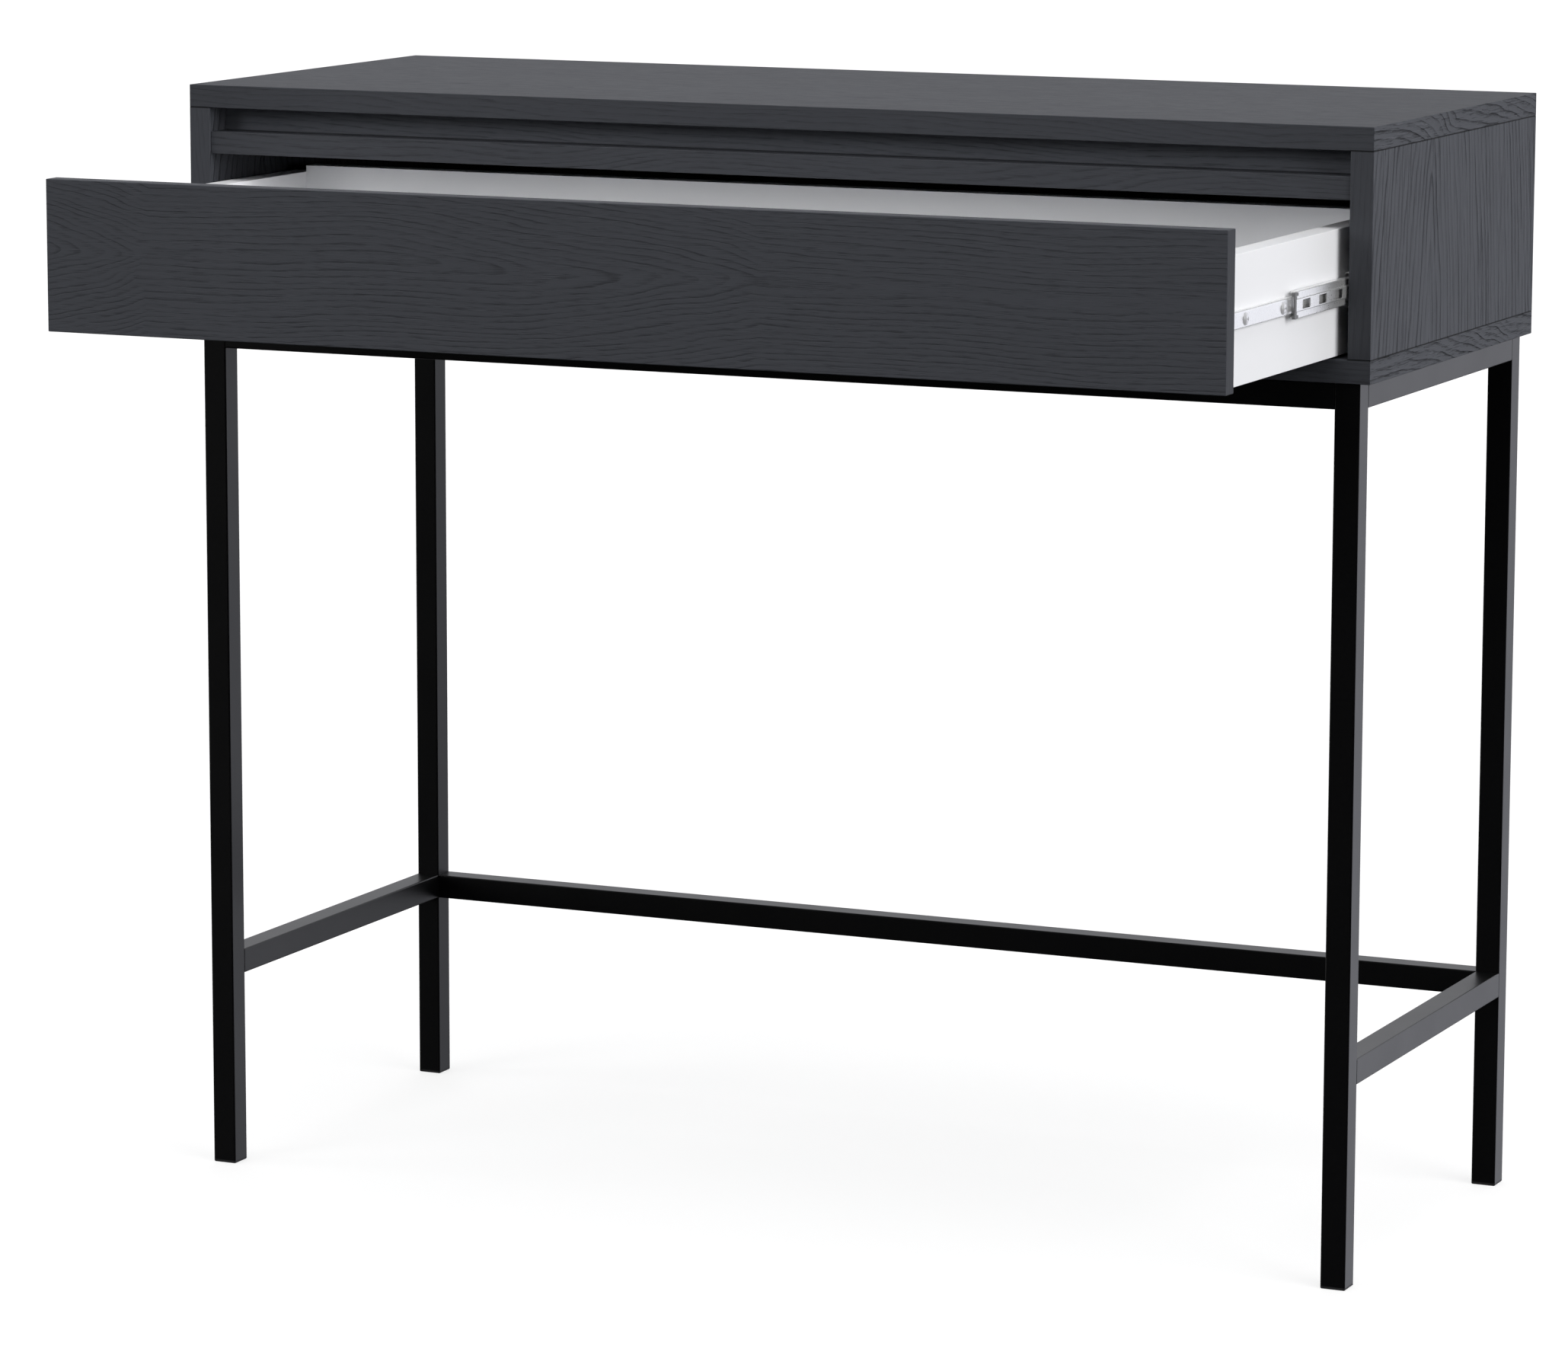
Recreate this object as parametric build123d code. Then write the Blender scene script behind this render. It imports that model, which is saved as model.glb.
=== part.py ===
from build123d import *
import math
import os

os.makedirs("parts", exist_ok=True)

# ---------------------------------------------------------------- dimensions
# All in millimetres. X runs along the desk's width, Y from front to back,
# Z up from the floor. While the parts are drawn, Y = 0 is the front edge of the
# worktop; they are shifted by Y_SHIFT when they are written, so that the
# origin lies at floor level in the middle of the whole footprint.

WIDTH = 1000.0            # worktop and bottom panel, end to end
DEPTH = 388.0             # carcass, front edge to rear edge
HEIGHT = 884.0            # floor to worktop
BOARD = 18.0              # carcass board
EDGE_R = 0.5              # rounding of the edge-banded arrises

BOTTOM_Z = 693.0          # underside of the bottom panel
INNER_X = WIDTH / 2 - BOARD
TOP_Z = HEIGHT - BOARD    # underside of the worktop
FLOOR_Z = BOTTOM_Z + BOARD  # upper face of the bottom panel

RAIL_Z0, RAIL_Z1 = 829.3, 846.8   # rail over the drawer
RAIL_Y0, RAIL_DEPTH = 1.5, 80.0
STRIP_Y0, STRIP_T = 26.5, 16.0    # strip that closes the shadow gap

BACK_T = 3.0              # hardboard back
BACK_LAP = 10.0           # width of the rear rebate
BACK_Y0 = DEPTH - 4.0

TUBE = 20.0               # square tube of the under-frame
WALL = 1.5
TUBE_R = 1.2
LEG_OUT_X = 491.5         # outer face of the legs
LEG_FRONT_Y = 2.5
LEG_REAR_Y = 365.5
STRETCHER_Z = 156.4       # underside of the low stretchers
GLIDE_H = 2.0

DRAWER_OUT = 256.0        # how far the drawer stands open
DRAWER_TRAVEL = 350.0     # full extension
FRONT_T = 16.0
FRONT_HALF = 481.4
FRONT_Z0, FRONT_Z1 = 711.6, 828.9
FRONT_CLOSED_Y = 1.0      # front face when shut
BOX_OUT_X = 472.0         # outer face of the drawer sides
BOX_T = 18.0
BOX_Z0, BOX_Z1 = 712.8, 807.6
BOX_REAR_Y = 380.0        # rear end of the drawer when shut
BOX_BACK_T = 16.0
BOX_BACK_Z1 = 812.9       # the drawer back stands a little over the sides
BASE_T = 4.0              # drawer bottom
BASE_Z0 = 722.7

SLIDE_Z = 761.3           # centre line of the runners
SLIDE_L = 350.0
SLIDE_Y0 = 18.5           # front end of the cabinet member
INNER_Y0 = 21.0           # front end of the two moving members when shut
CAGE_Y0, CAGE_L = 112.0, 165.0

Y_SHIFT = -(DEPTH + FRONT_CLOSED_Y - DRAWER_OUT) / 2

BOX_Y0 = FRONT_CLOSED_Y + FRONT_T  # front end of the drawer sides when shut


# ------------------------------------------------------------------- helpers
def block(x0, x1, y0, y1, z0, z1, r=0.0):
    s = Pos((x0 + x1) / 2, (y0 + y1) / 2, (z0 + z1) / 2) * Box(x1 - x0, y1 - y0, z1 - z0)
    return fillet(s.edges(), r) if r else s


def rod_x(x0, x1, y, z, r):
    return Pos((x0 + x1) / 2, y, z) * Rot(0, 90, 0) * Cylinder(r, x1 - x0)


def rod_y(x, y0, y1, z, r):
    return Pos(x, (y0 + y1) / 2, z) * Rot(90, 0, 0) * Cylinder(r, y1 - y0)


def rod_z(x, y, z0, z1, r):
    return Pos(x, y, (z0 + z1) / 2) * Cylinder(r, z1 - z0)


def turned(points, where, direction):
    """A solid of revolution. points are (radius, height) pairs."""
    outline = make_face(Polyline(*[(p[0], 0, p[1]) for p in points], close=True))
    body = revolve(outline, Axis.Z, 360)
    plane = Plane(origin=where, z_dir=direction)
    return plane.location * body


def tube(axis, x, y, z, length):
    """Square tube; x, y, z are its lowest corner."""
    size = {"X": (length, TUBE, TUBE), "Y": (TUBE, length, TUBE), "Z": (TUBE, TUBE, length)}[axis]
    bore = [d - 2 * WALL for d in size]
    bore["XYZ".index(axis)] = length + 2
    centre = Pos(x + size[0] / 2, y + size[1] / 2, z + size[2] / 2)
    line = {"X": Axis.X, "Y": Axis.Y, "Z": Axis.Z}[axis]
    outer = Box(*size)
    outer = fillet(outer.edges().filter_by(line), TUBE_R)
    inner = Box(*bore)
    inner = fillet(inner.edges().filter_by(line), 0.4)
    return centre * (outer - inner)


def mirrored(solid):
    return mirror(solid, about=Plane.YZ)


nodes = {}


def save(name, *solids, dy=0.0):
    made = [s.moved(Location((0, Y_SHIFT + dy, 0))) for s in solids]
    flat = []
    for s in made:
        flat += list(s.solids())
    nodes[name] = flat[0] if len(flat) == 1 else Compound(children=flat)
    export_step(nodes[name], f"parts/{name}.step")


# ------------------------------------------------------------ carcass boards
# Cam fittings join the sides to the worktop and to the bottom: a round cam in
# the side's inner face grips a bolt that stands in the other board.
CAM_R, CAM_DEPTH = 7.5, 12.5
CAM_DIST = 24.0
SIDE_MID = INNER_X + BOARD / 2
top_cam_y = (112.0, 343.0)
bottom_cam_y = (45.0, 343.0)
top_dowel_y = (25.0, 78.0, 300.0)
bottom_dowel_y = (78.0, 300.0)
DOWEL_R = 4.0
FIT = 0.05

worktop = block(-WIDTH / 2, WIDTH / 2, 0, DEPTH, TOP_Z, HEIGHT, EDGE_R)
bottom = block(-WIDTH / 2, WIDTH / 2, 0, DEPTH, BOTTOM_Z, FLOOR_Z, EDGE_R)
side = block(INNER_X, WIDTH / 2, 0, DEPTH, FLOOR_Z, TOP_Z, 0.4)

# rear rebate for the back
rebate = block(-INNER_X - BACK_LAP, INNER_X + BACK_LAP, BACK_Y0, DEPTH + 1,
               FLOOR_Z - BACK_LAP, TOP_Z + BACK_LAP)
worktop -= rebate
bottom -= rebate
side -= rebate

carcass_cams, carcass_bolts, carcass_dowels = [], [], []


def cam_x(x_face, y, z, sign, bolt_dir):
    """Cam housing with its face at x_face; sign points into the board."""
    c = rod_x(min(x_face, x_face + sign * CAM_DEPTH), max(x_face, x_face + sign * CAM_DEPTH), y, z, CAM_R - FIT)
    # cross slot for the key and the mouth that swallows the bolt's head
    c -= block(min(x_face, x_face + sign * 3), max(x_face, x_face + sign * 3), y - 5, y + 5, z - 0.7, z + 0.7)
    c -= block(min(x_face, x_face + sign * 3), max(x_face, x_face + sign * 3), y - 0.7, y + 0.7, z - 5, z + 5)
    xm = x_face + sign * BOARD / 2
    if bolt_dir[2]:
        a, b = sorted((z - bolt_dir[2] * 1, z + bolt_dir[2] * 9))
        c -= rod_z(xm, y, a, b, 3.7)
    else:
        a, b = sorted((y - bolt_dir[1] * 1, y + bolt_dir[1] * 9))
        c -= rod_y(xm, a, b, z, 3.7)
    return c


for y in top_cam_y:
    z = TOP_Z - CAM_DIST
    side -= rod_x(INNER_X - 1, INNER_X + CAM_DEPTH + 0.2, y, z, CAM_R)
    side -= rod_z(SIDE_MID, y, z, TOP_Z + 1, 4.0)
    carcass_cams.append(cam_x(INNER_X, y, z, 1, (0, 0, 1)))
    carcass_bolts.append(rod_z(SIDE_MID, y, z + 0.5, z + 3.5, 3.4) + rod_z(SIDE_MID, y, z + 3.5, z + 7.5, 2.2)
                         + rod_z(SIDE_MID, y, z + 7.5, TOP_Z - 1.5, 3.4) + rod_z(SIDE_MID, y, TOP_Z - 1.5, TOP_Z + 11, 2.9))
    for s in (1, -1):
        worktop -= rod_z(s * SIDE_MID, y, TOP_Z - 1, TOP_Z + 11.5, 2.95)
for y in bottom_cam_y:
    z = FLOOR_Z + CAM_DIST
    side -= rod_x(INNER_X - 1, INNER_X + CAM_DEPTH + 0.2, y, z, CAM_R)
    side -= rod_z(SIDE_MID, y, FLOOR_Z - 1, z, 4.0)
    carcass_cams.append(cam_x(INNER_X, y, z, 1, (0, 0, -1)))
    carcass_bolts.append(rod_z(SIDE_MID, y, z - 3.5, z - 0.5, 3.4) + rod_z(SIDE_MID, y, z - 7.5, z - 3.5, 2.2)
                         + rod_z(SIDE_MID, y, FLOOR_Z + 1.5, z - 7.5, 3.4) + rod_z(SIDE_MID, y, FLOOR_Z - 11, FLOOR_Z + 1.5, 2.9))
    for s in (1, -1):
        bottom -= rod_z(s * SIDE_MID, y, FLOOR_Z - 11.5, FLOOR_Z + 1, 2.95)
for y in top_dowel_y:
    side -= rod_z(SIDE_MID, y, TOP_Z - 19, TOP_Z + 1, DOWEL_R + FIT)
    carcass_dowels.append(chamfer(rod_z(SIDE_MID, y, TOP_Z - 18, TOP_Z + 11, DOWEL_R).edges(), 0.8))
    for s in (1, -1):
        worktop -= rod_z(s * SIDE_MID, y, TOP_Z - 1, TOP_Z + 12, DOWEL_R + FIT)
for y in bottom_dowel_y:
    side -= rod_z(SIDE_MID, y, FLOOR_Z - 1, FLOOR_Z + 19, DOWEL_R + FIT)
    carcass_dowels.append(chamfer(rod_z(SIDE_MID, y, FLOOR_Z - 11, FLOOR_Z + 18, DOWEL_R).edges(), 0.8))
    for s in (1, -1):
        bottom -= rod_z(s * SIDE_MID, y, FLOOR_Z - 12, FLOOR_Z + 1, DOWEL_R + FIT)
carcass_cams += [mirrored(c) for c in carcass_cams]
carcass_bolts += [mirrored(c) for c in carcass_bolts]
carcass_dowels += [mirrored(c) for c in carcass_dowels]

# Rail over the drawer, dowelled to the sides, and the strip that stands on it.
rail = block(-INNER_X, INNER_X, RAIL_Y0, RAIL_Y0 + RAIL_DEPTH, RAIL_Z0, RAIL_Z1, 0.4)
rail_dowels = []
rail_mid = (RAIL_Z0 + RAIL_Z1) / 2
for y in (RAIL_Y0 + 14, RAIL_Y0 + RAIL_DEPTH - 14):
    side -= rod_x(INNER_X - 1, INNER_X + 11, y, rail_mid, DOWEL_R + FIT)
    for s in (1, -1):
        rail -= rod_x(min(s * (INNER_X - 21), s * (INNER_X + 1)), max(s * (INNER_X - 21), s * (INNER_X + 1)),
                      y, rail_mid, DOWEL_R + FIT)
        rail_dowels.append(chamfer(rod_x(min(s * (INNER_X - 20), s * (INNER_X + 10)),
                                         max(s * (INNER_X - 20), s * (INNER_X + 10)), y, rail_mid, DOWEL_R).edges(), 0.8))
strip = block(-INNER_X, INNER_X, STRIP_Y0, STRIP_Y0 + STRIP_T, RAIL_Z1, TOP_Z, 0.3)
# the strip is screwed from below through the rail
strip_screws = []
for x in (-400.0, -135.0, 135.0, 400.0):
    y = STRIP_Y0 + STRIP_T / 2
    rail -= rod_z(x, y, RAIL_Z0 - 1, RAIL_Z1 + 1, 2.1)
    rail -= turned([(0, 0), (4.2, 0), (4.2, 0.5), (2.0, 2.9), (0, 2.9)], (x, y, RAIL_Z0 - 0.01), (0, 0, 1))
    strip -= rod_z(x, y, RAIL_Z1 - 1, RAIL_Z1 + 14, 1.8)
    strip_screws.append(turned([(0, 0.2), (4.0, 0.2), (4.0, 0.5), (1.75, 2.8), (1.75, 26), (0, 31)],
                               (x, y, RAIL_Z0), (0, 0, 1)))

back = block(-INNER_X - BACK_LAP + 0.3, INNER_X + BACK_LAP - 0.3, BACK_Y0, BACK_Y0 + BACK_T,
             FLOOR_Z - BACK_LAP + 0.3, TOP_Z + BACK_LAP - 0.3)
nails = []
nail_at = [(x, z) for z in (FLOOR_Z - 5, TOP_Z + 5) for x in (-440.0, -220.0, 0.0, 220.0, 440.0)]
nail_at += [(s * (INNER_X + 5), z) for s in (1, -1) for z in (760.0, 815.0)]
for x, z in nail_at:
    hole = rod_y(x, BACK_Y0 - 18, BACK_Y0 + BACK_T + 1, z, 0.85)
    back -= hole
    if z > TOP_Z:
        worktop -= hole
    elif z < FLOOR_Z:
        bottom -= hole
    elif x > 0:
        side -= hole
    nails.append(turned([(0, 0), (0.8, 3), (0.8, 20), (2.2, 20), (2.2, 20.7), (0, 20.7)],
                        (x, BACK_Y0 - 17, z), (0, 1, 0)))

# ------------------------------------------------------------------- runners
# One runner, drawn on the right. u is the distance from the carcass side
# towards the drawer (0 to 10 mm), w is the height over the centre line.


def channel(path, thickness, radius, y0, y1):
    """A bent strip of sheet steel along Y. path holds (u, w) centre points.

    The offset carries each free end on by half the thickness.
    """
    pts = [(INNER_X - u, SLIDE_Z + w) for u, w in path]
    line = FilletPolyline(*pts, radius=radius)
    face = make_face(offset(line, amount=thickness / 2, side=Side.BOTH, kind=Kind.INTERSECTION).edges())
    # the sketch's X and Y become the model's X and Z
    return extrude(Plane.XZ.location * face, amount=-(y1 - y0)).moved(Location((0, y0, 0)))


T_CAB, T_SLIDE = 1.0, 0.8

cabinet_member = channel([(8.9, 11.7), (8.9, 12.5), (0.5, 12.5), (0.5, -12.5), (8.9, -12.5), (8.9, -11.7)],
                         T_CAB, 0.6, SLIDE_Y0, SLIDE_Y0 + SLIDE_L)
middle_member = channel([(7.9, 9.0), (7.9, 9.6), (3.5, 9.6), (3.5, 4.4), (2.3, 4.4),
                         (2.3, -4.4), (3.5, -4.4), (3.5, -9.6), (7.9, -9.6), (7.9, -9.0)],
                        T_SLIDE, 0.45, INNER_Y0, INNER_Y0 + SLIDE_L)
drawer_member = channel([(9.6, 5.9), (5.8, 5.9), (5.8, -5.9), (9.6, -5.9)],
                        T_SLIDE, 0.8, INNER_Y0, INNER_Y0 + SLIDE_L)


def ub(u0, u1, y0, y1, w0, w1):
    return block(INNER_X - u1, INNER_X - u0, y0, y1, SLIDE_Z + w0, SLIDE_Z + w1)


# Cabinet member: three countersunk screws into the carcass side, a long slot
# between them and a folded stop at the rear.
cab_screw_y = (SLIDE_Y0 + 35, SLIDE_Y0 + 163, SLIDE_Y0 + 317)
cabinet_screws = []
for y in cab_screw_y:
    sink = turned([(0, 0.1), (3.1, 0.1), (3.1, 0), (1.6, -2.2), (1.6, -13), (0, -13)],
                  (INNER_X - 1.0, y, SLIDE_Z), (-1, 0, 0))
    cabinet_member -= sink
    side -= sink
    side -= rod_x(INNER_X, INNER_X + 12.5, y, SLIDE_Z, 1.6)
    s = turned([(0, 0), (3.0, 0), (1.5, -2.1), (1.5, -10), (0, -12.5)], (INNER_X - 1.0, y, SLIDE_Z), (-1, 0, 0))
    s -= block(INNER_X - 1.1, INNER_X - 0.4, y - 1.8, y + 1.8, SLIDE_Z - 0.35, SLIDE_Z + 0.35)
    s -= block(INNER_X - 1.1, INNER_X - 0.4, y - 0.35, y + 0.35, SLIDE_Z - 1.8, SLIDE_Z + 1.8)
    cabinet_screws.append(s)
for y in (SLIDE_Y0 + 75, SLIDE_Y0 + 115, SLIDE_Y0 + 210, SLIDE_Y0 + 265):
    slot = Pos(INNER_X - 0.5, y, SLIDE_Z) * Rot(0, 90, 0) * extrude(Rot(0, 0, 90) * SlotOverall(14, 4.6), amount=2, both=True)
    cabinet_member -= slot

# Middle member: square windows along the web, tongue at the front where the
# flanges stop short, and a grey plastic stop on the tongue.
for k in range(9):
    y = INNER_Y0 + 21.1 + 35.5 * k
    win = block(INNER_X - 3.2, INNER_X - 1.4, y - 8.5, y + 8.5, SLIDE_Z - 3.4, SLIDE_Z + 3.4)
    middle_member -= fillet(win.edges().filter_by(Axis.X), 1.4)
for w0, w1 in ((4.0, 10.5), (-10.5, -4.0)):
    middle_member -= ub(2.9, 9.0, INNER_Y0 - 1, INNER_Y0 + 4.0, w0, w1)
    middle_member -= ub(1.5, 9.0, INNER_Y0 - 1, INNER_Y0 + 4.0, w0 + (0.9 if w0 > 0 else 0), w1 - (0 if w0 > 0 else 0.9))
stop = ub(1.95, 4.3, INNER_Y0 - 3.4, INNER_Y0, -9.6, 9.6)
stop -= ub(2.85, 5, INNER_Y0 - 5, INNER_Y0 + 5, -6.9, 6.9)
for a, b in ((7.1, 9.6), (-9.6, -7.1)):
    stop += ub(1.95, 4.3, INNER_Y0, INNER_Y0 + 3.9, a, b)

# Drawer member: drawn collars carry the pan-head screws.
drawer_screw_y = (BOX_Y0 + 35, BOX_Y0 + 113, BOX_Y0 + 241, BOX_Y0 + 325)
drawer_screws = []
right_side_holes = []
for y in drawer_screw_y:
    drawer_member += rod_x(INNER_X - 10.0, INNER_X - 6.0, y, SLIDE_Z, 3.6)
    drawer_member -= rod_x(INNER_X - 11.0, INNER_X - 4.0, y, SLIDE_Z, 2.1)
    cap = [(0, 2.3)]
    R = (4.8 ** 2 + 2.3 ** 2) / (2 * 2.3)
    for k in range(1, 8):
        r = 4.8 * k / 8
        cap.append((r, math.sqrt(R * R - r * r) - (R - 2.3)))
    cap += [(4.8, 0.25), (4.8, 0), (2.0, 0), (2.0, -14.0), (0, -17.5)]
    s = turned(cap, (INNER_X - 5.4, y, SLIDE_Z), (1, 0, 0))
    s -= block(INNER_X - 4.4, INNER_X - 3.0, y - 1.6, y + 1.6, SLIDE_Z - 0.4, SLIDE_Z + 0.4)
    s -= block(INNER_X - 4.4, INNER_X - 3.0, y - 0.4, y + 0.4, SLIDE_Z - 1.6, SLIDE_Z + 1.6)
    drawer_screws.append(s)
    right_side_holes.append(turned([(0, 1), (2.05, 1), (2.05, -9.6), (0, -13.2)], (INNER_X - 10.0, y, SLIDE_Z), (1, 0, 0)))

# Ball cages. The outer one is a channel between the cabinet and middle
# members; the inner one is a strip in each raceway.
OUT_BALL_R, OUT_W, OUT_U = 0.9, 11.0, 5.5
IN_BALL_R, IN_W, IN_U = 1.35, 7.75, 6.2
ball_y = [CAGE_Y0 + 8 + k * (CAGE_L - 16) / 7 for k in range(8)]
outer_cage = ub(1.2, 1.6, CAGE_Y0, CAGE_Y0 + CAGE_L, -11.2, 11.2)
for s in (1, -1):
    outer_cage += ub(1.6, 6.8, CAGE_Y0, CAGE_Y0 + CAGE_L, *sorted((s * 10.8, s * 11.2)))
for k in range(4):
    y = CAGE_Y0 + 8 + 40 * k
    outer_cage -= ub(1.0, 1.8, y, y + 29, -7, 7)
inner_cage = [ub(4.4, 7.3, CAGE_Y0 + INNER_Y0 - SLIDE_Y0, CAGE_Y0 + INNER_Y0 - SLIDE_Y0 + CAGE_L, *sorted((s * 7.55, s * 7.95)))
              for s in (1, -1)]
outer_balls, inner_balls = [], []
for y in ball_y:
    for i, s in enumerate((1, -1)):
        outer_balls.append(Pos(INNER_X - OUT_U, y, SLIDE_Z + s * OUT_W) * Sphere(OUT_BALL_R))
        outer_cage -= rod_z(INNER_X - OUT_U, y, SLIDE_Z + s * OUT_W - 1, SLIDE_Z + s * OUT_W + 1, OUT_BALL_R + 0.1)
        yi = y + INNER_Y0 - SLIDE_Y0
        inner_balls.append(Pos(INNER_X - IN_U, yi, SLIDE_Z + s * IN_W) * Sphere(IN_BALL_R))
        inner_cage[i] -= rod_z(INNER_X - IN_U, yi, SLIDE_Z + s * IN_W - 1, SLIDE_Z + s * IN_W + 1, IN_BALL_R + 0.1)

# -------------------------------------------------------------------- drawer
# Drawn shut, written open by DRAWER_OUT.
BOX_IN_X = BOX_OUT_X - BOX_T
front = block(-FRONT_HALF, FRONT_HALF, FRONT_CLOSED_Y, FRONT_CLOSED_Y + FRONT_T, FRONT_Z0, FRONT_Z1, 0.7)
dside = block(BOX_IN_X, BOX_OUT_X, BOX_Y0, BOX_REAR_Y, BOX_Z0, BOX_Z1, 0.4)
dback = block(-BOX_IN_X, BOX_IN_X, BOX_REAR_Y - BOX_BACK_T, BOX_REAR_Y, BASE_Z0 + BASE_T, BOX_BACK_Z1, 0.4)
GROOVE = 8.0
base = block(-BOX_IN_X - 7.5, BOX_IN_X + 7.5, BOX_Y0 - 6.5, BOX_REAR_Y - 1, BASE_Z0, BASE_Z0 + BASE_T)
dside -= block(BOX_IN_X - 1, BOX_IN_X + GROOVE, BOX_Y0 - 1, BOX_REAR_Y + 1, BASE_Z0 - 0.1, BASE_Z0 + BASE_T + 0.1)
front -= block(-BOX_IN_X - GROOVE, BOX_IN_X + GROOVE, BOX_Y0 - 7, BOX_Y0 + 1, BASE_Z0 - 0.1, BASE_Z0 + BASE_T + 0.1)
for h in right_side_holes:
    dside -= h

drawer_cams, drawer_bolts, drawer_dowels, back_screws = [], [], [], []
DSIDE_MID = BOX_IN_X + BOX_T / 2
for z in (742.0, 787.0):
    y = BOX_Y0 + CAM_DIST
    dside -= rod_x(BOX_IN_X - 1, BOX_IN_X + CAM_DEPTH + 0.2, y, z, CAM_R)
    dside -= rod_y(DSIDE_MID, BOX_Y0 - 1, y, z, 4.0)
    drawer_cams.append(cam_x(BOX_IN_X, y, z, 1, (0, -1, 0)))
    drawer_bolts.append(rod_y(DSIDE_MID, y - 3.5, y - 0.5, z, 3.4) + rod_y(DSIDE_MID, y - 7.5, y - 3.5, z, 2.2)
                        + rod_y(DSIDE_MID, BOX_Y0 + 1.5, y - 7.5, z, 3.4) + rod_y(DSIDE_MID, BOX_Y0 - 11, BOX_Y0 + 1.5, z, 2.9))
    for s in (1, -1):
        front -= rod_y(s * DSIDE_MID, BOX_Y0 - 11.5, BOX_Y0 + 1, z, 2.95)
z = 764.5
dside -= rod_y(DSIDE_MID, BOX_Y0 - 1, BOX_Y0 + 21, z, DOWEL_R + FIT)
drawer_dowels.append(chamfer(rod_y(DSIDE_MID, BOX_Y0 - 10, BOX_Y0 + 20, z, DOWEL_R).edges(), 0.8))
for s in (1, -1):
    front -= rod_y(s * DSIDE_MID, BOX_Y0 - 11, BOX_Y0 + 1, z, DOWEL_R + FIT)
for z in (741.0, 793.0):
    y = BOX_REAR_Y - BOX_BACK_T / 2
    cut = turned([(0, 1), (4.6, 1), (4.6, -0.4), (2.55, -2.6), (2.55, -45), (0, -49)], (BOX_OUT_X, y, z), (1, 0, 0))
    dside -= cut
    dback -= cut
    dback -= mirrored(cut)
    s = turned([(0, -0.2), (4.4, -0.2), (4.4, -0.5), (2.4, -2.6), (2.4, -44), (0, -48)], (BOX_OUT_X, y, z), (1, 0, 0))
    s -= rod_x(BOX_OUT_X - 2.4, BOX_OUT_X, y, z, 1.6)
    back_screws.append(s)
drawer_cams += [mirrored(c) for c in drawer_cams]
drawer_bolts += [mirrored(c) for c in drawer_bolts]
drawer_dowels += [mirrored(c) for c in drawer_dowels]
back_screws += [mirrored(c) for c in back_screws]
# tacks that hold the drawer bottom up to the drawer back
base_tacks = []
for x in (-380.0, -190.0, 0.0, 190.0, 380.0):
    y = BOX_REAR_Y - BOX_BACK_T / 2
    base -= rod_z(x, y, BASE_Z0 - 1, BASE_Z0 + BASE_T + 1, 0.85)
    dback -= rod_z(x, y, BASE_Z0 + BASE_T - 1, BASE_Z0 + 17.5, 0.85)
    base_tacks.append(turned([(0, -0.7), (2.2, -0.7), (2.2, 0), (0.8, 0), (0.8, 15), (0, 17)], (x, y, BASE_Z0), (0, 0, 1)))

# ---------------------------------------------------------------- under-frame
LEG_L = BOTTOM_Z - GLIDE_H
RAIL_FRAME_Z = BOTTOM_Z - TUBE
SIDE_RUN = LEG_REAR_Y - (LEG_FRONT_Y + TUBE)
LEG_IN_X = LEG_OUT_X - TUBE
right_front_leg = tube("Z", LEG_IN_X, LEG_FRONT_Y, GLIDE_H, LEG_L)
right_rear_leg = tube("Z", LEG_IN_X, LEG_REAR_Y, GLIDE_H, LEG_L)
right_rail = tube("Y", LEG_IN_X, LEG_FRONT_Y + TUBE, RAIL_FRAME_Z, SIDE_RUN)
right_stretcher = tube("Y", LEG_IN_X, LEG_FRONT_Y + TUBE, STRETCHER_Z, SIDE_RUN)
front_frame_rail = tube("X", -LEG_IN_X, LEG_FRONT_Y, RAIL_FRAME_Z, 2 * LEG_IN_X)
rear_frame_rail = tube("X", -LEG_IN_X, LEG_REAR_Y, RAIL_FRAME_Z, 2 * LEG_IN_X)
rear_stretcher = tube("X", -LEG_IN_X, LEG_REAR_Y, STRETCHER_Z, 2 * LEG_IN_X)

# Glides: a pad as wide as the tube and a ribbed plug inside it.
glides = []
for y0 in (LEG_FRONT_Y, LEG_REAR_Y):
    cx, cy = LEG_IN_X + TUBE / 2, y0 + TUBE / 2
    pad = block(LEG_IN_X, LEG_OUT_X, y0, y0 + TUBE, 0, GLIDE_H)
    pad = fillet(pad.edges().filter_by(Axis.Z), TUBE_R)
    pad = chamfer(pad.faces().sort_by(Axis.Z)[0].edges(), 0.6)
    plug = Pos(cx, cy, GLIDE_H + 6) * Box(14.6, 14.6, 12)
    plug -= Pos(cx, cy, GLIDE_H + 7.5) * Box(11.6, 11.6, 9.02)
    for k in range(3):
        plug += Pos(cx, cy, GLIDE_H + 2.5 + 3.6 * k) * (Box(16.8, 16.8, 1.0) - Box(14.0, 14.0, 1.2))
    glides.append(pad + plug)
glides += [mirrored(g) for g in glides]

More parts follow.
